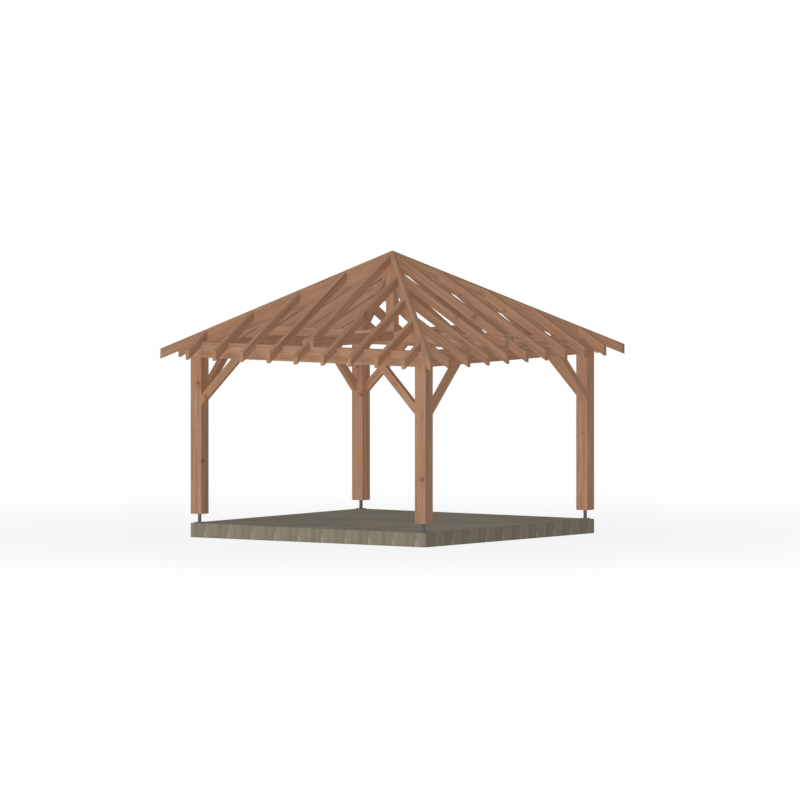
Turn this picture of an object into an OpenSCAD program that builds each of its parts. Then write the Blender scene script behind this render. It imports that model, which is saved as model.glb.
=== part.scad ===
/* [Plan] */
// Side of the square plan, over the outer faces of the posts
plan_side = 4000; // [3000:50:5000]
// Side of each square post
post_side = 180; // [140:5:220]
// Clear height from the slab to the underside of the wall plates
clear_height = 2295; // [2000:5:2600]

/* [Slab and post bases] */
// Thickness of the concrete slab
slab_height = 200; // [120:10:300]
// Gap between the slab and the foot of a post
standoff = 125; // [80:5:200]
// Side of the square foot plate of a post base
base_plate_side = 100; // [90:5:140]
// Thickness of the foot plate
base_plate_thickness = 8; // [5:1:15]
// Diameter of the round stem that carries the post
stem_diameter = 48; // [30:1:56]
// Diameter of the spigot on top of the stem
spigot_diameter = 20; // [16:1:26]
// Height of the spigot inside the post
spigot_height = 150; // [80:5:200]
// Play of the spigot in the bore of the post, all round and at its end
spigot_play = 1; // [0.5:0.5:3]
// Diameter of the anchor holes in the foot plate
anchor_hole_diameter = 11; // [9:1:13]
// Distance of an anchor hole's centre from the edges of the foot plate
anchor_hole_inset = 16; // [12:1:20]

/* [Wall plates and braces] */
// Depth of a wall plate
plate_depth = 215; // [160:5:260]
// Width of a wall plate
plate_width = 180; // [140:5:220]
// Reach of a brace's underside along the wall plate and down the post
brace_reach = 660; // [450:10:900]
// Depth of a brace, square to its length
brace_depth = 105; // [80:5:140]
// Thickness of a brace, in from the outer faces
brace_thickness = 80; // [60:5:140]

/* [Tie beams and king post] */
// Depth of the crossed tie beams
tie_depth = 120; // [100:5:180]
// Width of the crossed tie beams
tie_width = 180; // [140:5:220]
// Side of the square king post
king_side = 130; // [120:5:160]

/* [Roof] */
// Pitch of the four roof planes, in degrees
pitch = 30; // [25:1:38]
// Level overhang of the eaves beyond the outer faces of the posts
overhang = 300; // [150:10:450]
// Height of the roof plane over the outer top edge of the wall plates
heel_height = 80; // [60:5:95]
// Rafter bays along one eave, from hip to hip
eave_bays = 10; // [8:2:12]
// Thickness of a rafter
rafter_thickness = 60; // [45:5:75]
// Depth of a rafter, square to its slope
rafter_depth = 120; // [105:5:150]
// Thickness of a hip rafter
hip_thickness = 80; // [65:5:90]
// Depth of a hip rafter between king post and corner, square to its slope
hip_depth = 250; // [180:5:280]

/* [Hidden] */
SIDES = ["front", "right", "back", "left"];
CORNERS = ["front_left", "front_right", "back_right", "back_left"];
HALVES = ["front_left", "front_right", "right_front", "right_back",
          "back_right", "back_left", "left_back", "left_front"];
TIES = ["front_to_back", "side_to_side"];

timber = [0.66, 0.49, 0.38];
shaded_timber = [0.55, 0.40, 0.31];
concrete = [0.53, 0.50, 0.44];
dark_steel = [0.24, 0.25, 0.27];

quarter = 90;
half_turn = 180;
diagonal = 45;
segments = 48;
// Length by which a cutting body runs past the face it cuts
overcut = 20;

half = plan_side / 2;
eave = half + overhang;
slope = tan(pitch);
post_axis = half - post_side / 2;
post_foot = slab_height + standoff;
plate_bottom = slab_height + clear_height;
plate_top = plate_bottom + plate_depth;
plate_lap = plate_depth / 2;
tie_lap = tie_depth / 2;
king_foot = plate_top + tie_depth;
apex = plate_top + heel_height + half * slope;
anchor_offset = base_plate_side / 2 - anchor_hole_inset;
rafter_plumb_depth = rafter_depth / cos(pitch);
hip_plumb_depth = hip_depth / cos(atan(slope / sqrt(2)));
rafter_spacing = 2 * eave / eave_bays;
jacks_per_half = eave_bays / 2 - 1;
// Level distance from a hip's centre line to its side, along an eave
hip_side = hip_thickness * sqrt(2) / 2;

// Height of the roof plane at a level run out from the centre
function roof_height(run) = apex - run * slope;

// Length along the plan diagonal for a level run out from the centre
function along_hip(run) = run * sqrt(2);

// Upright body across the front side, from a profile of run out from the centre and height
module across_front(width)
    rotate([quarter, 0, -quarter]) linear_extrude(width, center = true) children();

// Body under all four roof planes, ending at the plumb eaves
module under_roof() {
    intersection_for (turn = [0, quarter])
        rotate(turn)
            across_front(2 * eave)
                polygon([
                    [-eave, 0], [eave, 0], [eave, roof_height(eave)],
                    [0, apex], [-eave, roof_height(eave)]
                ]);
}

// Upright column of the king post, without its sloped top
module king_column(foot)
    translate([-king_side / 2, -king_side / 2, foot]) cube([king_side, king_side, apex]);

// Side of a rafter: plumb tail, heel cut on the plate's outer face, level seat on the plate's top
module rafter_profile() {
    seat_end = (apex - rafter_plumb_depth - plate_top) / slope;
    polygon([
        [0, apex], [eave, roof_height(eave)], [eave, roof_height(eave) - rafter_plumb_depth],
        [half, roof_height(half) - rafter_plumb_depth], [half, plate_top],
        [seat_end, plate_top], [0, apex - rafter_plumb_depth]
    ]);
}

// Plan of the roof field between the two front hips
module front_field() polygon([[0, -hip_side], [hip_side - eave, -eave], [eave - hip_side, -eave]]);

// Rafters of the front side at a list of places, with cheek cuts along the hips and the king post
module front_rafters(places) {
    difference() {
        intersection() {
            across_front(2 * eave) rafter_profile();
            linear_extrude(apex)
                intersection() {
                    front_field();
                    for (place = places)
                        translate([place - rafter_thickness / 2, -eave]) square([rafter_thickness, eave]);
                }
        }
        king_column(0);
    }
}

// Side of a hip rafter along the plan diagonal: full depth inside, rafter depth at the tail
module hip_profile() {
    step = half - hip_side;
    tip = eave + overcut;
    polygon([
        [0, apex], [along_hip(tip), roof_height(tip)],
        [along_hip(tip), roof_height(tip) - rafter_plumb_depth],
        [along_hip(step), roof_height(step) - rafter_plumb_depth],
        [along_hip(step), roof_height(step) - hip_plumb_depth], [0, apex - hip_plumb_depth]
    ]);
}

module slab() color(concrete) translate([-half, -half, 0]) cube([plan_side, plan_side, slab_height]);

// Foot plate with anchor holes, stem up to the foot of the post, and spigot inside it
module post_base(corner) {
    color(dark_steel)
        rotate(corner * quarter)
            translate([-post_axis, -post_axis, slab_height]) {
                difference() {
                    translate([-base_plate_side / 2, -base_plate_side / 2, 0])
                        cube([base_plate_side, base_plate_side, base_plate_thickness]);
                    for (x = [-anchor_offset, anchor_offset], y = [-anchor_offset, anchor_offset])
                        translate([x, y, -overcut])
                            cylinder(
                                d = anchor_hole_diameter,
                                h = base_plate_thickness + 2 * overcut,
                                $fn = segments
                            );
                }
                cylinder(d = stem_diameter, h = standoff, $fn = segments);
                cylinder(d = spigot_diameter, h = standoff + spigot_height, $fn = segments);
            }
}

// Square post, bored from below for the spigot
module post(corner) {
    color(timber)
        rotate(corner * quarter)
            translate([-post_axis, -post_axis, post_foot])
                difference() {
                    translate([-post_side / 2, -post_side / 2, 0])
                        cube([post_side, post_side, plate_bottom - post_foot]);
                    translate([0, 0, -overcut])
                        cylinder(
                            d = spigot_diameter + 2 * spigot_play,
                            h = overcut + spigot_height + spigot_play,
                            $fn = segments
                        );
                }
}

// Wall plate, half-lapped at both corners: front and back lie over right and left
module wall_plate(side) {
    over = side % 2 == 0;
    lap_cut = over ? plate_bottom - overcut : plate_bottom + plate_lap;
    color(timber)
        rotate(side * quarter)
            difference() {
                translate([-half, -half, plate_bottom]) cube([plan_side, plate_width, plate_depth]);
                for (turned = [0, 1])
                    mirror([turned, 0, 0])
                        translate([half - plate_width, -half - overcut, lap_cut])
                            cube([plate_width + overcut, plate_width + 2 * overcut, plate_lap + overcut]);
            }
}

// Corner brace at 45 degrees between a post and a wall plate, flush with their outer faces
module brace(half_side) {
    foot = brace_depth * sqrt(2);
    color(shaded_timber)
        rotate(floor(half_side / 2) * quarter)
            mirror([half_side % 2, 0, 0])
                translate([post_side - half, brace_thickness - half, plate_bottom])
                    rotate([quarter, 0, 0])
                        linear_extrude(brace_thickness)
                            polygon([
                                [0, -brace_reach], [brace_reach, 0],
                                [brace_reach - foot, 0], [0, foot - brace_reach]
                            ]);
}

// Tie beam on the wall plates, half-lapped at the crossing, cut to the roof and slotted for the rafters
module tie_beam(run) {
    lap_cut = run == 0 ? plate_top + tie_lap : plate_top - overcut;
    color(timber)
        rotate(run * quarter)
            difference() {
                intersection() {
                    translate([-tie_width / 2, -half, plate_top]) cube([tie_width, plan_side, tie_depth]);
                    under_roof();
                }
                translate([-tie_width / 2 - overcut, -tie_width / 2, lap_cut])
                    cube([tie_width + 2 * overcut, tie_width, tie_lap + overcut]);
                for (turn = [0, half_turn])
                    rotate(turn) across_front(rafter_thickness) rafter_profile();
            }
}

// King post on the crossing of the tie beams, with a four-sided point under the roof planes
module king_post() {
    color(timber)
        intersection() {
            king_column(king_foot);
            under_roof();
        }
}

// Hip rafter: backed to both roof planes, notched round the king post and over the plates' corner
module hip_rafter(corner) {
    color(timber)
        rotate(corner * quarter)
            difference() {
                intersection() {
                    under_roof();
                    rotate(half_turn + diagonal)
                        rotate([quarter, 0, 0])
                            linear_extrude(hip_thickness, center = true) hip_profile();
                }
                king_column(0);
                translate([-half, -half, 0]) cube([half, half, plate_top]);
            }
}

// Rafter in the middle of a side, from the king post to the eave
module common_rafter(side) color(timber) rotate(side * quarter) front_rafters([0]);

// Rafters of half a side, from the hip to the eave
module jack_rafters(half_side) {
    color(timber)
        rotate(floor(half_side / 2) * quarter)
            mirror([1 - half_side % 2, 0, 0])
                front_rafters([for (bay = [1 : jacks_per_half]) bay * rafter_spacing]);
}

slab();
for (i = [0 : len(CORNERS) - 1]) {
    post_base(i);
    post(i);
    hip_rafter(i);
}
for (i = [0 : len(SIDES) - 1]) {
    wall_plate(i);
    common_rafter(i);
}
for (i = [0 : len(HALVES) - 1]) {
    brace(i);
    jack_rafters(i);
}
for (i = [0 : len(TIES) - 1]) {
    tie_beam(i);
}
king_post();
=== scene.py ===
"""Looks of the garden gazebo: grained timbers, a board-marked slab and steel post bases."""
import math
import random

import bmesh
import bpy
from mathutils import Color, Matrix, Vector

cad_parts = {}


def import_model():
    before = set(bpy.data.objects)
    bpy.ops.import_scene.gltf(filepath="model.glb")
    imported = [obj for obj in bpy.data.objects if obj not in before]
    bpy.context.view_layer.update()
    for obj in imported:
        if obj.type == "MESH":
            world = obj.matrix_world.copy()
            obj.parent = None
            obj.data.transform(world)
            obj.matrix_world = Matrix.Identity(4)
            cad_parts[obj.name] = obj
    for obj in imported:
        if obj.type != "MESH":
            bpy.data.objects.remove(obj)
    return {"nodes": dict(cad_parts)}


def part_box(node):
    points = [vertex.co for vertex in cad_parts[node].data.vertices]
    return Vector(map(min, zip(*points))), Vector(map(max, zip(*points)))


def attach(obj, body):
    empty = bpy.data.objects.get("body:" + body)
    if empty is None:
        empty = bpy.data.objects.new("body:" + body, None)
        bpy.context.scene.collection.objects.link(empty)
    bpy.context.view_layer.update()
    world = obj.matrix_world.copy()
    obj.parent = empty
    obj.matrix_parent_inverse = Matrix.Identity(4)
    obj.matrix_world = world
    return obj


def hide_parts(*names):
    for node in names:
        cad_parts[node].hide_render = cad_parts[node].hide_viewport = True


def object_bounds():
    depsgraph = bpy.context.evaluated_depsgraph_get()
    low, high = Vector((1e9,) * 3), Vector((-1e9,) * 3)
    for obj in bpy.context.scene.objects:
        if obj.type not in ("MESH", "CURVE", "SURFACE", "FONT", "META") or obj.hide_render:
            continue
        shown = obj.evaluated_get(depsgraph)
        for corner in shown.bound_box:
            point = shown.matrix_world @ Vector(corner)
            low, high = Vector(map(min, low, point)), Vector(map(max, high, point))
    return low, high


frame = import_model()
cad_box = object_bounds()

BASE_NODE = "post_base_"
SEED = 41

# Timber shapes, in metres and radians: points nearer than WELD are one, long outer edges are eased
WELD = 0.00002
FLAT_ANGLE = math.radians(0.5)
TIMBER_ARRIS = 0.003
SHORTEST_ARRIS = 0.05
ARRIS_ANGLE = math.radians(35)
ARRIS_SEGMENTS = 2
ROUND_PROFILE = 0.5

# Cosines from which an edge runs with the grain, and a timber stands upright
WITH_GRAIN = 0.999
UPRIGHT = 0.9

# Pith: thinnest timber in metres that holds it, how far it lies from a timber's middle in half sections,
# and the metres of tree that timbers are cut from
BOXED_HEART = 0.1
BOXED_PITH_STRAY = 0.35
SAWN_PITH_STRAY = 1.6
SAWN_PITH_OFFSET = 1.5
TREE_LENGTH = 40.0

# Slab, in metres: boards of the formwork, the gaps between them and their steps, and its edges
BOARD = 0.1
BOARD_GAP = 0.004
BOARD_GAP_DEPTH = 0.0025
BOARD_STEP = 0.0015
SLAB_ARRIS = 0.012
SLAB_ARRIS_STEPS = 5
SLAB_FOOT_ARRIS = 0.004
TROWELLED = 0.07
TROWELLED_FADE = 0.01

# Post bases, in metres, with the steps of round corners and the sides of turned pieces
PLATE_CORNERS = 4
PLATE_CORNER = 0.006
PLATE_CORNER_STEPS = 4
PLATE_RIM = 0.001
WELD_BEAD = 0.006
WELD_BEAD_STEPS = 6
STEM_SIDES = 48
STEM_RIM = 0.0015
ANCHOR_INSET = 0.016
WASHER_RADIUS = 0.011
WASHER_THICKNESS = 0.0015
WASHER_SIDES = 32
HEAD_WIDTH = 0.015
HEAD_HEIGHT = 0.005
HEAD_SIDES = 6
HEAD_RIM_HEIGHT = 0.001
HEAD_RIM_WIDTH = 0.002

# Spans: where most values of a noise lie, with their middle, and from none to all
NOISE_SPAN = (0.3, 0.7)
NOISE_MIDDLE = 0.5
UNIT_SPAN = (0.0, 1.0)

# Sockets of a Mix node that mixes colours
MIX_SHARE = 0
MIX_FIRST = 6
MIX_SECOND = 7
MIX_RESULT = 2

# Timber figure: repeats a metre along, across and through the timber
WANDER_GRAIN = (0.8, 5, 5)
STREAK_GRAIN = (0.55, 26, 26)
FIBRE_GRAIN = (7, 420, 420)
CLOUD_GRAIN = (1.6, 5, 5)
CHECK_GRAIN = (0.9, 42, 42)
CHECK_ZONE_GRAIN = (0.7, 7, 7)

# Timber figure: metres that fibres wander, growth rings a metre, and the late wood's share of a ring
WANDER = (0, 0.03, 0.03)
RINGS = 150
LATE_WOOD_START = (0.25, 0.9)
LATE_WOOD_END = (1.0, 0.93)

# Knots: cells a metre that may hold one, metres a radian round the pith, and which cells have one
KNOT_CELLS = (2.1, 2.1, 0)
KNOT_GIRTH = 0.11
KNOT_CHANCE = (0.58, 0.62)

# Knots: their radii in cells, where each zone fades in radii, and rings that bend round one
KNOT_RADII = (0.022, 0.055)
KNOT_CORE_REACH = (1.1, 0.75)
KNOT_RIM_REACH = (0.5, 0.95)
KNOT_HALO_REACH = (4.5, 0.8)
KNOT_BEND = 2.4

# Spans of noise that colour warm clouds, drying checks and the stretches that have checks
CLOUD_SPAN = (0.45, 0.75)
CHECK_SPAN = (0.012, 0.002)
CHECK_ZONE_SPAN = (0.56, 0.64)

# Wear and painted highlight on the arrises, in metres: their reach from an arris, how far that strays, and
# the levels of rain splash
WEAR_AND_HIGHLIGHT_REACH = (0.016, 0.006)
WEAR_AND_HIGHLIGHT_STRAY = 0.012
SPLASH_LEVELS = (0.62, 0.33)

# Timber colours in sRGB bytes; each stain with its share where it is strongest
DARK_WOOD = (159, 119, 93)
PALE_WOOD = (183, 144, 116)
LATE_WOOD = ((137, 97, 72), 0.42)
WARM_CLOUD = ((166, 122, 91), 0.3)
KNOT_HALO = ((146, 99, 70), 0.35)
KNOT_CORE = ((120, 80, 57), 0.6)
KNOT_RIM = ((86, 56, 40), 0.65)
# The dark colour of the drying checks is painted shade inside the cracks
DRYING_CHECK_PAINTED_SHADE = ((86, 57, 42), 0.7)
# Paler arrises: wear, and a painted highlight along every long edge
WORN_ARRIS_AND_HIGHLIGHT = ((193, 156, 128), 0.4)
RAIN_SPLASH = ((120, 104, 88), 0.25)

# Timber surface: shares of its relief, the relief's height in metres and strength, gloss and roughness
LATE_WOOD_RELIEF = 0.35
FIBRE_RELIEF = 0.5
CHECK_RELIEF = 1.5
TIMBER_BUMP = (0.0012, 0.5)
TIMBER_GLOSS = 0.08
TIMBER_ROUGHNESS = (0.62, 0.8)

# Brightness of the timbers: how far single ones stray at random, and painted light and shade on those that
# differ, by how their names begin, lighter where shade falls on them under the roof and darker where shade
# is painted in; the first that fits counts
TONE_SPREAD = 0.02
PAINTED_LIGHT_TONES = {
    "post_front_right": 0.97,
    "post_back_": 1.05,
    "king_post": 1.07,
    "hip_rafter_back_right": 0.90,
    "hip_rafter_": 1.03,
    "jack_rafters_left": 0.89,
    "common_rafter_left": 0.89,
    "jack_rafters_right": 0.95,
    "common_rafter_right": 0.95,
    "jack_rafters_": 1.03,
    "common_rafter_": 1.03,
}

# Concrete figure: repeats a metre on each axis, and for the print of the boards along and up a side
MOTTLE_GRAIN = (3, 3, 3)
SAND_GRAIN = (260, 260, 260)
BRUSH_GRAIN = (5, 150, 1)
HAZE_GRAIN = (0.9, 0.9, 0.9)
PRINT_GRAIN = (75, 2.5, 0)

# Bands on the slab's sides: boards in a repeat, and the waves in it, each with its shift in radians
REPEAT_BOARDS = 4
BAND_WAVES = ((1, 2.5), (3, 0.6))
BAND_SPAN = (-1.6, 1.6)

# Pale streaks, one a repeat: shift in radians, cosines across one, levels in metres,
# and the span of mottle that changes their share
STREAK_SHIFT = 3.8
STREAK_COSINES = (0.93, 1.0)
STREAK_LEVELS = (0.14, 0.03)
STREAK_MOTTLE = (0.25, 0.65)
STREAK_SHARES = (0.2, 0.75)

# Damp foot of the slab, in metres, and the share of brush marks on the trowelled margin
DAMP_LEVELS = (0.06, 0.03)
DAMP_STRAY = 0.05
TROWELLED_BRUSH = 0.3

# Spans of noise that colour the print of the boards, brush grooves, mottle and sand
PRINT_SPAN = (0.35, 0.75)
GROOVE_SPAN = (0.4, 0.75)
MOTTLE_SPAN = (0.5, 0.75)
SAND_SPAN = (0.55, 0.75)

# Concrete colours in sRGB bytes; each stain with its share where it is strongest
DARK_SIDE = (128, 121, 106)
PALE_SIDE = (141, 134, 118)
# The top is painted paler than the sides: painted light that makes up for the little lamp light on the top
DARK_TOP_PAINTED_LIGHT = (140, 136, 124)
PALE_TOP_PAINTED_LIGHT = (152, 148, 135)
PALE_STREAK = (172, 165, 146)
BOARD_PRINT = ((108, 100, 86), 0.3)
DAMP_FOOT = ((104, 97, 80), 0.25)
BRUSH_GROOVE = ((108, 103, 92), 0.5)
MOTTLE = ((118, 110, 94), 0.25)
SAND = ((92, 86, 74), 0.3)

# Concrete surface: the sand's share of its relief, the relief's height and strength, and roughness
SAND_RELIEF = 0.4
CONCRETE_BUMP = (0.003, 0.5)
CONCRETE_ROUGHNESS = (0.78, 0.92)
NO_GLOSS = 0.0

# Steel: repeats a metre, the span of noise that dulls it, colours in sRGB bytes and its surface
SPANGLE_GRAIN = (160, 160, 160)
PATCH_GRAIN = (35, 35, 35)
PATCH_SPAN = (0.5, 0.7)
DARK_STEEL = (64, 66, 67)
PALE_STEEL = (77, 79, 80)
DULL_PATCH = ((87, 85, 81), 0.5)
STEEL_BUMP = (0.0005, 0.3)
STEEL_METAL = 0.4
STEEL_ROUGHNESS = (0.4, 0.6)

# Camera of the photograph: level angle, height angle, and the frame's width and centre in metres
AZIMUTH = math.radians(35.74)
ELEVATION = math.radians(3.514)
FRAME_WIDTH = 11.064
FRAME_RIGHT = 0.1052
FRAME_UP = 1.8688
CAMERA_DISTANCE = 30.0
CAMERA_REACH = 120.0

# Lamps: direction to each, its light as a share of full white, if it casts shadows and if it shows in gloss
LAMPS = {
    "key": ((-0.20, -0.95, 0.25), 0.12, True, True),
    "key_fill": ((-0.20, -0.95, 0.20), 0.57, False, True),
    "fill": ((0.95, -0.20, 0.22), 0.275, False, True),
    "back": ((-0.62, 0.75, 0.25), 0.40, False, False),
    "bounce": ((0.25, -0.35, -0.90), 0.24, False, True),
}
LAMP_SPREAD = math.radians(40)
AMBIENT = 0.25
WHITE = (1.0, 1.0, 1.0, 1.0)

# Floor: sizes in metres, colour in sRGB bytes, and its share of glow between two distances
FLOOR_RADIUS = 60.0
FLOOR_SIDES = 96
FLOOR_DROP = 0.001
FLOOR_PAINT = (205, 205, 205)
FLOOR_ROUGHNESS = 0.9
FLOOR_GLOW = (0.86, 1.0)
FLOOR_GLOW_REACH = (2.0, 12.0)

# A full byte of colour, turns in radians, and directions
FULL_BYTE = 255
QUARTER = math.radians(90)
FULL_TURN = math.radians(360)
RIGHT = Vector((1, 0, 0))
UP = Vector((0, 0, 1))


def paint(colour):
    """Linear colour of a colour in sRGB bytes."""
    shares = [byte / FULL_BYTE for byte in colour]
    return (*Color(shares).from_srgb_to_scene_linear(), 1.0)


class Nodes:
    """A node tree in the making. Inputs are numbers, tuples or sockets."""

    def __init__(self, owner):
        owner.use_nodes = True
        self.owner = owner
        self.tree = owner.node_tree

    def put(self, socket, value):
        """Links an input to a socket, or sets it to a constant."""
        if isinstance(value, bpy.types.NodeSocket):
            self.tree.links.new(value, socket)
        else:
            socket.default_value = value

    def node(self, kind, *values, **settings):
        """New node with its settings and its first inputs."""
        made = self.tree.nodes.new("ShaderNode" + kind)
        for name, value in settings.items():
            setattr(made, name, value)
        for socket, value in zip(made.inputs, values):
            self.put(socket, value)
        return made

    def math(self, operation, *values):
        """Number worked out from numbers."""
        return self.node("Math", *values, operation=operation).outputs["Value"]

    def vector(self, operation, *values):
        """Vector worked out from vectors, or the length of one."""
        made = self.node("VectorMath", *values, operation=operation)
        return made.outputs["Value" if operation == "LENGTH" else "Vector"]

    def split(self, vector):
        """The three numbers of a vector or colour."""
        return self.node("SeparateXYZ", vector).outputs[:]

    def join(self, x, y, z):
        """Vector of three numbers."""
        return self.node("CombineXYZ", x, y, z).outputs["Vector"]

    def fade(self, value, span, low=0.0, high=1.0):
        """Smooth change from low to high while a value crosses a span."""
        made = self.node("MapRange", value, *span, low, high, interpolation_type="SMOOTHSTEP")
        return made.outputs["Result"]

    def within(self, half, place):
        """How far a place lies inside a half width."""
        return self.math("SUBTRACT", half, self.math("ABSOLUTE", place))

    def seen(self):
        """1 for rays that show the background, straight or by gloss or glass, and 0 for the rest."""
        path = self.node("LightPath").outputs
        turned_ray = self.math("MAXIMUM", path["Is Glossy Ray"], path["Is Transmission Ray"])
        return self.math("MAXIMUM", path["Is Camera Ray"], turned_ray)


class Shader(Nodes):
    """A material in the making, with a Principled surface."""

    def __init__(self, name):
        super().__init__(bpy.data.materials.new(name))
        self.surface = self.tree.nodes["Principled BSDF"]

    def attribute(self, name, output="Vector"):
        """What the mesh says about a point."""
        return self.node("Attribute", attribute_name=name).outputs[output]

    def place(self):
        """Place of a point in metres."""
        return self.node("TexCoord").outputs["Object"]

    def noise(self, place, grain, detail=2.0, roughness=0.5, output="Fac"):
        """Soft noise with its repeats a metre on each axis."""
        made = self.node("TexNoise")
        self.put(made.inputs["Vector"], self.vector("MULTIPLY", place, grain))
        self.put(made.inputs["Scale"], 1.0)
        self.put(made.inputs["Detail"], detail)
        self.put(made.inputs["Roughness"], roughness)
        return made.outputs[output]

    def cells(self, place, grain, dimensions):
        """Distance to the nearest of scattered points, in cells, and its random colour."""
        made = self.node("TexVoronoi", voronoi_dimensions=dimensions)
        self.put(made.inputs["Vector"], self.vector("MULTIPLY", place, grain))
        self.put(made.inputs["Scale"], 1.0)
        return made.outputs["Distance"], made.outputs["Color"]

    def mix(self, share, first, second):
        """Second colour over the first by its share."""
        made = self.node("Mix", data_type="RGBA")
        self.put(made.inputs[MIX_SHARE], share)
        self.put(made.inputs[MIX_FIRST], first)
        self.put(made.inputs[MIX_SECOND], second)
        return made.outputs[MIX_RESULT]

    def stain(self, colour, where, tint, share):
        """Colour with a share of a tint where a mask says."""
        return self.mix(self.math("MULTIPLY", where, share), colour, paint(tint))

    def brighten(self, colour, brightness):
        """Colour times a brightness that differs between timbers: painted light and shade times a random
        tone.
        """
        made = self.node("VectorMath", colour, operation="SCALE")
        self.put(made.inputs["Scale"], brightness)
        return made.outputs["Vector"]

    def bump(self, height, distance, strength):
        """Normal of a surface with a relief."""
        made = self.node("Bump")
        self.put(made.inputs["Height"], height)
        self.put(made.inputs["Distance"], distance)
        self.put(made.inputs["Strength"], strength)
        return made.outputs["Normal"]

    def finish(self, inputs):
        """The material, with these inputs of its surface."""
        for name, value in inputs.items():
            self.put(self.surface.inputs[name], value)
        return self.owner


def knots(shade, place):
    """Masks of the knots' cores, rims and halos, scattered over the timber as if rolled out."""
    along, across, deep = shade.split(place)
    around = shade.math("MULTIPLY", shade.math("ARCTAN2", deep, across), KNOT_GIRTH)
    distance, colour = shade.cells(shade.join(along, around, 0.0), KNOT_CELLS, "2D")
    size, chance, _ = shade.split(colour)
    reach = shade.math("DIVIDE", distance, shade.fade(size, UNIT_SPAN, *KNOT_RADII))
    real = shade.fade(chance, KNOT_CHANCE)
    core = shade.math("MULTIPLY", real, shade.fade(reach, KNOT_CORE_REACH))
    rim = shade.math("MULTIPLY", core, shade.fade(reach, KNOT_RIM_REACH))
    halo = shade.math("MULTIPLY", real, shade.fade(reach, KNOT_HALO_REACH))
    return core, rim, halo


def growth_rings(shade, place, knot_halo):
    """Mask of the late wood in the rings round the pith, which bend at knots."""
    _, across, deep = shade.split(place)
    from_pith = shade.vector("LENGTH", shade.join(0.0, across, deep))
    bend = shade.math("MULTIPLY", knot_halo, KNOT_BEND)
    ring = shade.math("FRACT", shade.math("MULTIPLY_ADD", from_pith, RINGS, bend))
    return shade.math("MULTIPLY", shade.fade(ring, LATE_WOOD_START), shade.fade(ring, LATE_WOOD_END))


def drying_checks(shade, place):
    """Mask of thin cracks along the grain, in some stretches of a timber."""
    figure = shade.noise(place, CHECK_GRAIN, roughness=0.45)
    line = shade.math("ABSOLUTE", shade.math("SUBTRACT", figure, NOISE_MIDDLE))
    zone = shade.fade(shade.noise(place, CHECK_ZONE_GRAIN), CHECK_ZONE_SPAN)
    return shade.math("MULTIPLY", shade.fade(line, CHECK_SPAN), zone)


def timber_material():
    """Brown stained softwood with growth rings, streaks, knots, drying checks and paler arrises, which are
    wear and a painted highlight.
    """
    shade = Shader("stained_timber")
    grain = shade.attribute("grain")
    # The section's third number is the tone: painted light and shade times a random spread
    half_width, half_depth, tone = shade.split(shade.attribute("section"))
    place = shade.vector("ADD", grain, shade.attribute("pith"))
    wander = shade.noise(place, WANDER_GRAIN, output="Color")
    wander = shade.vector("SUBTRACT", wander, (NOISE_MIDDLE, NOISE_MIDDLE, NOISE_MIDDLE))
    place = shade.vector("ADD", place, shade.vector("MULTIPLY", wander, WANDER))

    knot_core, knot_rim, knot_halo = knots(shade, place)
    late_wood = growth_rings(shade, place, knot_halo)
    check = drying_checks(shade, place)
    streak = shade.noise(place, STREAK_GRAIN, detail=3.0, roughness=0.6)
    fibre = shade.noise(place, FIBRE_GRAIN, roughness=0.6)
    cloud = shade.noise(place, CLOUD_GRAIN)
    _, side, height = shade.split(grain)
    from_arris = shade.math("MAXIMUM", shade.within(half_width, side), shade.within(half_depth, height))
    # Paler near the arrises: wear and a painted highlight
    wear_and_highlight = shade.fade(shade.math("MULTIPLY_ADD", cloud, WEAR_AND_HIGHLIGHT_STRAY, from_arris), WEAR_AND_HIGHLIGHT_REACH)
    _, _, level = shade.split(shade.place())
    splash = shade.math("MULTIPLY", shade.fade(level, SPLASH_LEVELS), shade.fade(cloud, NOISE_SPAN))

    colour = shade.mix(shade.fade(streak, NOISE_SPAN), paint(DARK_WOOD), paint(PALE_WOOD))
    colour = shade.stain(colour, late_wood, *LATE_WOOD)
    colour = shade.stain(colour, shade.fade(cloud, CLOUD_SPAN), *WARM_CLOUD)
    colour = shade.stain(colour, knot_halo, *KNOT_HALO)
    colour = shade.stain(colour, knot_core, *KNOT_CORE)
    colour = shade.stain(colour, knot_rim, *KNOT_RIM)
    # Painted shade inside the drying checks
    colour = shade.stain(colour, check, *DRYING_CHECK_PAINTED_SHADE)
    colour = shade.stain(colour, wear_and_highlight, *WORN_ARRIS_AND_HIGHLIGHT)
    colour = shade.stain(colour, splash, *RAIN_SPLASH)

    fibre_relief = shade.math("MULTIPLY", fibre, FIBRE_RELIEF)
    relief = shade.math("MULTIPLY_ADD", late_wood, LATE_WOOD_RELIEF, fibre_relief)
    relief = shade.math("SUBTRACT", relief, shade.math("MULTIPLY", check, CHECK_RELIEF))
    return shade.finish({
        "Base Color": shade.brighten(colour, tone),
        "Roughness": shade.fade(fibre, NOISE_SPAN, *TIMBER_ROUGHNESS),
        "Specular IOR Level": TIMBER_GLOSS,
        "Normal": shade.bump(relief, *TIMBER_BUMP),
    })


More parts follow.
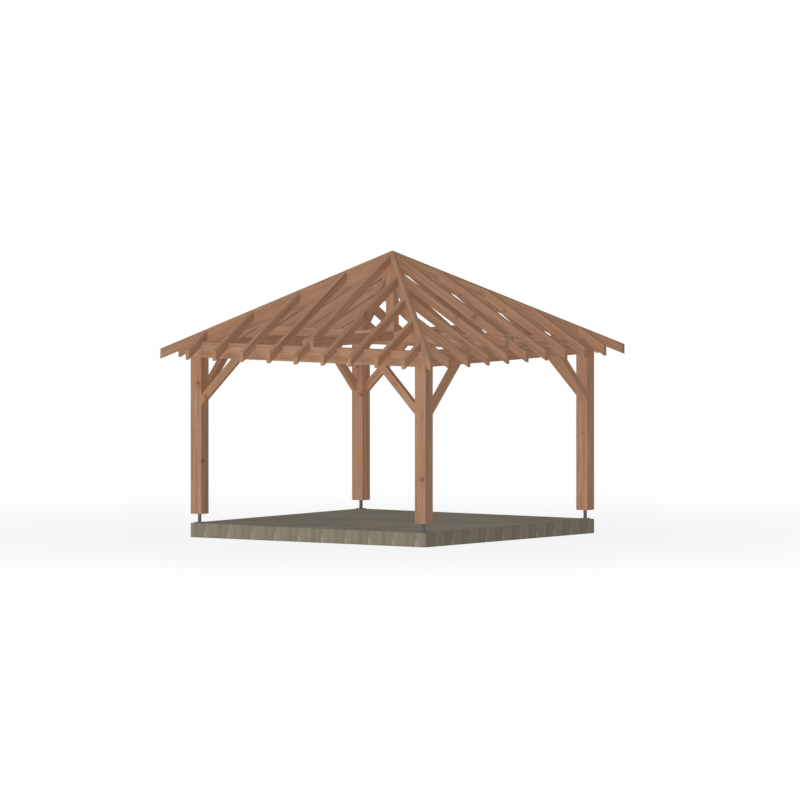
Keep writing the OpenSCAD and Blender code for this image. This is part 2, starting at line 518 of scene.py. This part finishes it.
def side_colour(shade, mottle, wood_print):
    """Colour of the slab's sides: bands of boards, pale streaks at the foot and damp."""
    run, level, _ = shade.split(shade.attribute("cast"))
    phase = shade.math("MULTIPLY", run, FULL_TURN / (REPEAT_BOARDS * BOARD))
    waves = []
    for count, shift in BAND_WAVES:
        waves.append(shade.math("SINE", shade.math("MULTIPLY_ADD", phase, count, shift)))
    band = shade.fade(shade.math("ADD", *waves), BAND_SPAN)
    colour = shade.mix(band, paint(DARK_SIDE), paint(PALE_SIDE))
    colour = shade.stain(colour, shade.fade(wood_print, PRINT_SPAN), *BOARD_PRINT)
    streak = shade.fade(shade.math("COSINE", shade.math("SUBTRACT", phase, STREAK_SHIFT)), STREAK_COSINES)
    streak = shade.math("MULTIPLY", streak, shade.fade(level, STREAK_LEVELS))
    streak = shade.math("MULTIPLY", streak, shade.fade(mottle, STREAK_MOTTLE, *STREAK_SHARES))
    colour = shade.mix(streak, colour, paint(PALE_STREAK))
    damp = shade.fade(shade.math("MULTIPLY_ADD", mottle, DAMP_STRAY, level), DAMP_LEVELS)
    return shade.stain(colour, damp, *DAMP_FOOT)


def concrete_material(half_side):
    """Board-marked sides with pale streaks at the foot, and a brushed top with a trowelled margin, painted
    paler than the sides as painted light.
    """
    shade = Shader("cast_concrete")
    place = shade.place()
    top = shade.attribute("top", "Fac")
    mottle = shade.noise(place, MOTTLE_GRAIN, detail=3.0, roughness=0.6)
    sand = shade.noise(place, SAND_GRAIN, roughness=0.6)
    brush = shade.noise(place, BRUSH_GRAIN, detail=3.0, roughness=0.65)
    haze = shade.noise(place, HAZE_GRAIN, detail=4.0, roughness=0.6)
    wood_print = shade.noise(shade.attribute("cast"), PRINT_GRAIN, detail=3.0, roughness=0.65)
    east, north, _ = shade.split(place)
    from_edge = shade.math("MINIMUM", shade.within(half_side, east), shade.within(half_side, north))
    brushed = shade.fade(from_edge, (TROWELLED - TROWELLED_FADE, TROWELLED), TROWELLED_BRUSH)

    # The top's paler colours are painted light
    flat = shade.mix(shade.fade(haze, NOISE_SPAN), paint(DARK_TOP_PAINTED_LIGHT), paint(PALE_TOP_PAINTED_LIGHT))
    groove = shade.math("MULTIPLY", brushed, shade.fade(brush, GROOVE_SPAN))
    flat = shade.stain(flat, groove, *BRUSH_GROOVE)
    colour = shade.mix(top, side_colour(shade, mottle, wood_print), flat)
    colour = shade.stain(colour, shade.fade(mottle, MOTTLE_SPAN), *MOTTLE)
    colour = shade.stain(colour, shade.fade(sand, SAND_SPAN), *SAND)

    relief = shade.mix(top, wood_print, shade.math("MULTIPLY", brush, brushed))
    relief = shade.math("MULTIPLY_ADD", sand, SAND_RELIEF, relief)
    return shade.finish({
        "Base Color": colour,
        "Roughness": shade.fade(sand, NOISE_SPAN, *CONCRETE_ROUGHNESS),
        "Specular IOR Level": NO_GLOSS,
        "Normal": shade.bump(relief, *CONCRETE_BUMP),
    })


def steel_material():
    """Dark galvanised steel with soft spangle and dull patches."""
    shade = Shader("dark_steel")
    place = shade.place()
    _, spangle = shade.cells(place, SPANGLE_GRAIN, "3D")
    flake, _, _ = shade.split(spangle)
    patch = shade.noise(place, PATCH_GRAIN, detail=3.0)
    colour = shade.mix(flake, paint(DARK_STEEL), paint(PALE_STEEL))
    return shade.finish({
        "Base Color": shade.stain(colour, shade.fade(patch, PATCH_SPAN), *DULL_PATCH),
        "Roughness": shade.fade(patch, NOISE_SPAN, *STEEL_ROUGHNESS),
        "Metallic": STEEL_METAL,
        "Normal": shade.bump(patch, *STEEL_BUMP),
    })


def placed(name, data):
    """A new object in the scene."""
    made = bpy.data.objects.new(name, data)
    bpy.context.scene.collection.objects.link(made)
    return made


def aim(made, direction):
    """Turns a lamp or camera so that its back points in a direction."""
    made.rotation_mode = "QUATERNION"
    made.rotation_quaternion = direction.to_track_quat("Z", "Y")


def surface(name, bm, material):
    """A new object in the scene from a mesh in the making, which is used up."""
    mesh = bpy.data.meshes.new(name)
    bm.to_mesh(mesh)
    bm.free()
    mesh.materials.append(material)
    return placed(name, mesh)


def piece(name, bm, material, slot, *nodes):
    """A piece of the gazebo, riding on the fixed body and standing for CAD nodes."""
    bmesh.ops.recalc_face_normals(bm, faces=bm.faces)
    made = surface(name, bm, material)
    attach(made, "root")
    if nodes:
        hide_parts(*nodes)


def islands(bm):
    """Lists of the faces that hang together, one list for each separate timber."""
    bm.faces.ensure_lookup_table()
    bm.faces.index_update()
    found = []
    seen = set()
    for start in bm.faces:
        if start.index in seen:
            continue
        group = [start]
        seen.add(start.index)
        for face in group:
            for edge in face.edges:
                for other in edge.link_faces:
                    if other.index not in seen:
                        seen.add(other.index)
                        group.append(other)
        found.append(group)
    return found


def edge_line(edge):
    """Vector from one end of an edge to the other."""
    return edge.verts[1].co - edge.verts[0].co


def grain_axis(faces):
    """Direction of the longest edge of a timber, pointing up or to the right."""
    longest = max((edge for face in faces for edge in face.edges), key=lambda edge: edge.calc_length())
    line = edge_line(longest).normalized()
    return -line if (line.z, line.x, line.y) < (0, 0, 0) else line


def ease_arrises(bm):
    """Rounds the long outer edges that run with the grain; saw cuts at the ends stay sharp."""
    chosen = []
    for faces in islands(bm):
        axis = grain_axis(faces)
        edges = {edge.index: edge for face in faces for edge in face.edges}
        for edge in edges.values():
            with_grain = abs(edge_line(edge).normalized().dot(axis)) > WITH_GRAIN
            outer = edge.is_convex and edge.calc_face_angle() > ARRIS_ANGLE
            if with_grain and outer and edge.calc_length() > SHORTEST_ARRIS:
                chosen.append(edge)
    bmesh.ops.bevel(
        bm,
        geom=chosen,
        offset=TIMBER_ARRIS,
        segments=ARRIS_SEGMENTS,
        profile=ROUND_PROFILE,
        affect="EDGES",
    )


def draw_pith(half, draw):
    """Where a timber lies in its tree: along it, and from its pith across and through the timber."""
    boxed_heart = min(half.y, half.z) > BOXED_HEART / 2
    stray = BOXED_PITH_STRAY if boxed_heart else SAWN_PITH_STRAY
    along = draw.uniform(0, TREE_LENGTH)
    across = half.y * draw.uniform(-stray, stray)
    deep = half.z * draw.uniform(-stray, stray)
    if not boxed_heart:
        across += math.copysign(half.y * SAWN_PITH_OFFSET, across)
    return along, across, deep


def write_grain(bm, brightness, draw):
    """Place in the timber for each corner, its half section and tone, and where its pith lies; the tone is
    painted light and shade times a random spread.
    """
    grain = bm.verts.layers.float_vector.new("grain")
    section = bm.verts.layers.float_vector.new("section")
    pith = bm.verts.layers.float_vector.new("pith")
    for faces in islands(bm):
        along = grain_axis(faces)
        across = RIGHT if along.z > UPRIGHT else along.cross(UP).normalized()
        deep = along.cross(across)
        verts = {vert for face in faces for vert in face.verts}
        places = {vert: Vector(axis.dot(vert.co) for axis in (along, across, deep)) for vert in verts}
        low = Vector(map(min, *places.values()))
        high = Vector(map(max, *places.values()))
        half = (high - low) / 2
        shift = draw_pith(half, draw)
        # The tone: painted light and shade from the name, times a random spread
        tone = brightness * draw.uniform(1 - TONE_SPREAD, 1 + TONE_SPREAD)
        for vert, spot in places.items():
            vert[grain] = spot - (low + high) / 2
            vert[section] = (half.y, half.z, tone)
            vert[pith] = shift


def timber(name, material, draw):
    """The CAD timber of a node with eased arrises and its grain."""
    bm = bmesh.new()
    bm.from_mesh(frame["nodes"][name].data)
    bmesh.ops.remove_doubles(bm, verts=bm.verts, dist=WELD)
    bmesh.ops.dissolve_limit(bm, angle_limit=FLAT_ANGLE, verts=bm.verts, edges=bm.edges)
    bm.edges.index_update()
    ease_arrises(bm)
    # Painted light and shade for this timber, from how its name begins
    brightness = next((tone for kind, tone in PAINTED_LIGHT_TONES.items() if name.startswith(kind)), 1.0)
    write_grain(bm, brightness, draw)
    piece(name + "_timber", bm, material, "timber", name)


def quarter_turn(steps):
    """Angles of a quarter turn in equal steps, both ends included."""
    return [QUARTER * step / steps for step in range(steps + 1)]


def ray(angle):
    """Level direction at an angle from the right."""
    return Vector((math.cos(angle), math.sin(angle), 0))


def skin(bm, rings):
    """Closed body over a stack of rings with the same number of corners; gives its end faces."""
    for lower, upper in zip(rings, rings[1:]):
        for index in range(len(lower)):
            bm.faces.new((lower[index - 1], lower[index], upper[index], upper[index - 1]))
    return bm.faces.new(reversed(rings[0])), bm.faces.new(rings[-1])


def turned(bm, profile, centre, sides):
    """Turned body from a list of radius and height, closed at both ends."""
    rays = [ray(FULL_TURN * side / sides) for side in range(sides)]
    rings = []
    for radius, level in profile:
        rings.append([bm.verts.new(centre + arm * radius + UP * level) for arm in rays])
    skin(bm, rings)


def slab_outline(side, draw):
    """Distances along a slab side and their depths: boards with a narrow gap after each."""
    points = []
    boards = round(side / BOARD)
    for board in range(boards):
        step = draw.uniform(0, BOARD_STEP)
        start = board * BOARD
        points.append((start + BOARD_GAP / 2, step))
        points.append((start + BOARD - BOARD_GAP / 2, step))
        if board < boards - 1:
            points.append((start + BOARD, BOARD_GAP_DEPTH))
    return points


def slab_profile(low, high):
    """Insets and levels of the slab's sides: a small arris at the foot and a round one at the top."""
    profile = [(SLAB_FOOT_ARRIS, low), (0.0, low + SLAB_FOOT_ARRIS)]
    for angle in quarter_turn(SLAB_ARRIS_STEPS):
        inset = SLAB_ARRIS * (1 - math.cos(angle))
        drop = SLAB_ARRIS * (1 - math.sin(angle))
        profile.append((inset, high - drop))
    return profile


def slab(material, draw):
    """Slab cast against upright boards, with a trowelled top arris."""
    low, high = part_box("slab")
    side = high.x - low.x
    corners = [low.xy, Vector((high.x, low.y)), high.xy, Vector((low.x, high.y))]
    lines = [Vector((1, 0)), Vector((0, 1)), Vector((-1, 0)), Vector((0, -1))]
    outlines = [slab_outline(side, draw) for _ in lines]
    bm = bmesh.new()
    cast = bm.verts.layers.float_vector.new("cast")
    top = bm.faces.layers.float.new("top")
    rings = []
    for inset, level in slab_profile(low.z, high.z):
        ring = []
        for corner, line, outline in zip(corners, lines, outlines):
            inward = Vector((-line.y, line.x))
            for run, depth in outline:
                held = min(max(run, inset), side - inset)
                flat = corner + line * held + inward * (inset + depth)
                vert = bm.verts.new((flat.x, flat.y, level))
                vert[cast] = (run, level, 0)
                ring.append(vert)
        rings.append(ring)
    underside, upper_side = skin(bm, rings)
    upper_side[top] = 1.0
    # A fan from the middle gives these faces of many corners clean triangles
    bmesh.ops.poke(bm, faces=[underside, upper_side])
    piece("slab_cast", bm, material, "concrete", "slab")


def foot_plate(bm, centre, side, thickness):
    """Square plate with rounded corners and a small top rim."""
    hub_reach = side / 2 - PLATE_CORNER
    rings = []
    for inset, level in ((0, 0), (0, thickness - PLATE_RIM), (PLATE_RIM, thickness)):
        ring = []
        for corner in range(PLATE_CORNERS):
            first = QUARTER * corner
            hub = (ray(first) + ray(first + QUARTER)) * hub_reach
            for turn in quarter_turn(PLATE_CORNER_STEPS):
                arm = ray(first + turn) * (PLATE_CORNER - inset)
                ring.append(bm.verts.new(centre + hub + arm + UP * level))
        rings.append(ring)
    skin(bm, rings)


def stem_profile(radius, foot, length):
    """Radii and levels of a stem from the foot plate up: the hollow of its weld bead, then its rim."""
    profile = []
    for angle in quarter_turn(WELD_BEAD_STEPS):
        out = WELD_BEAD * (1 - math.sin(angle))
        up = WELD_BEAD * (1 - math.cos(angle))
        profile.append((radius + out, foot + up))
    return profile + [(radius, length - STEM_RIM), (radius - STEM_RIM, length)]


def anchor(bm, foot):
    """Low six-sided anchor head on its washer."""
    top = WASHER_THICKNESS + HEAD_HEIGHT
    head = HEAD_WIDTH / 2 / math.cos(math.pi / HEAD_SIDES)
    turned(bm, [(WASHER_RADIUS, 0), (WASHER_RADIUS, WASHER_THICKNESS)], foot, WASHER_SIDES)
    head_profile = [
        (head, WASHER_THICKNESS),
        (head, top - HEAD_RIM_HEIGHT),
        (head - HEAD_RIM_WIDTH, top),
    ]
    turned(bm, head_profile, foot, HEAD_SIDES)


def post_base(corner, material):
    """Foot plate, stem with its weld bead, and the anchors."""
    node = BASE_NODE + corner
    low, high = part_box(node)
    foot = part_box("post_" + corner)[0].z
    centre = Vector(((low.x + high.x) / 2, (low.y + high.y) / 2, low.z))
    arms = [vert.co - centre for vert in frame["nodes"][node].data.vertices]
    plate = min(arm.z for arm in arms if arm.z > WELD)
    radius = max(arm.xy.length for arm in arms if abs(centre.z + arm.z - foot) < WELD)
    bm = bmesh.new()
    foot_plate(bm, centre, high.x - low.x, plate)
    turned(bm, stem_profile(radius, plate, foot - low.z), centre, STEM_SIDES)
    piece(node + "_steel", bm, material, "steel", node)
    bm = bmesh.new()
    reach = (high.x - low.x) / 2 - ANCHOR_INSET
    for x in (-reach, reach):
        for y in (-reach, reach):
            anchor(bm, centre + Vector((x, y, plate)))
    piece("anchors_" + corner, bm, material, "steel")


def build():
    """All pieces of the gazebo, in a fixed order, so that each timber draws the same grain again."""
    draw = random.Random(SEED)
    wood = timber_material()
    concrete = concrete_material(half_side=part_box("slab")[1].x)
    steel = steel_material()
    slab(concrete, draw)
    for name in sorted(frame["nodes"]):
        if name.startswith(BASE_NODE):
            post_base(name.removeprefix(BASE_NODE), steel)
        elif name != "slab":
            timber(name, wood, draw)


def floor():
    """Pale floor that keeps the shadow and turns to the white background further out."""
    shade = Shader("pale_floor")
    pale = shade.finish({
        "Base Color": paint(FLOOR_PAINT),
        "Roughness": FLOOR_ROUGHNESS,
        "Specular IOR Level": NO_GLOSS,
    })
    away = shade.vector("LENGTH", shade.place())
    share = shade.math("MULTIPLY", shade.seen(), shade.fade(away, FLOOR_GLOW_REACH, *FLOOR_GLOW))
    glow = shade.node("Emission", WHITE, 1.0).outputs["Emission"]
    blend = shade.node("MixShader", share, shade.surface.outputs["BSDF"], glow).outputs["Shader"]
    shade.put(shade.tree.nodes["Material Output"].inputs["Surface"], blend)
    bm = bmesh.new()
    bmesh.ops.create_circle(bm, cap_ends=True, segments=FLOOR_SIDES, radius=FLOOR_RADIUS)
    bmesh.ops.translate(bm, verts=bm.verts, vec=(0, 0, cad_box[0].z - FLOOR_DROP))
    made = surface("floor", bm, pale)


def world():
    """Even light all round, seen as white."""
    studio = bpy.data.worlds.new("studio")
    nodes = Nodes(studio)
    background = nodes.tree.nodes["Background"]
    nodes.put(background.inputs["Color"], WHITE)
    nodes.put(background.inputs["Strength"], nodes.fade(nodes.seen(), UNIT_SPAN, AMBIENT))
    bpy.context.scene.world = studio


def lamps():
    """Wide, soft lamps far away."""
    for name, (direction, share, shadows, gloss) in LAMPS.items():
        lamp = bpy.data.lights.new(name, "SUN")
        lamp.energy = share * math.pi
        lamp.use_shadow = shadows
        lamp.angle = LAMP_SPREAD
        made = placed(name, lamp)
        made.visible_glossy = gloss
        aim(made, Vector(direction))


def camera():
    """Parallel view at the photograph's angle."""
    right = ray(AZIMUTH)
    back = ray(AZIMUTH - QUARTER) * math.cos(ELEVATION) + UP * math.sin(ELEVATION)
    up = back.cross(right)
    lens = bpy.data.cameras.new("camera")
    lens.type = "ORTHO"
    lens.ortho_scale = FRAME_WIDTH
    lens.clip_end = CAMERA_REACH
    made = placed("camera", lens)
    made.location = right * FRAME_RIGHT + up * FRAME_UP + back * CAMERA_DISTANCE
    aim(made, back)
    bpy.context.scene.camera = made


camera()
build()
floor()
world()
lamps()
bpy.context.scene.view_settings.view_transform = "Standard"
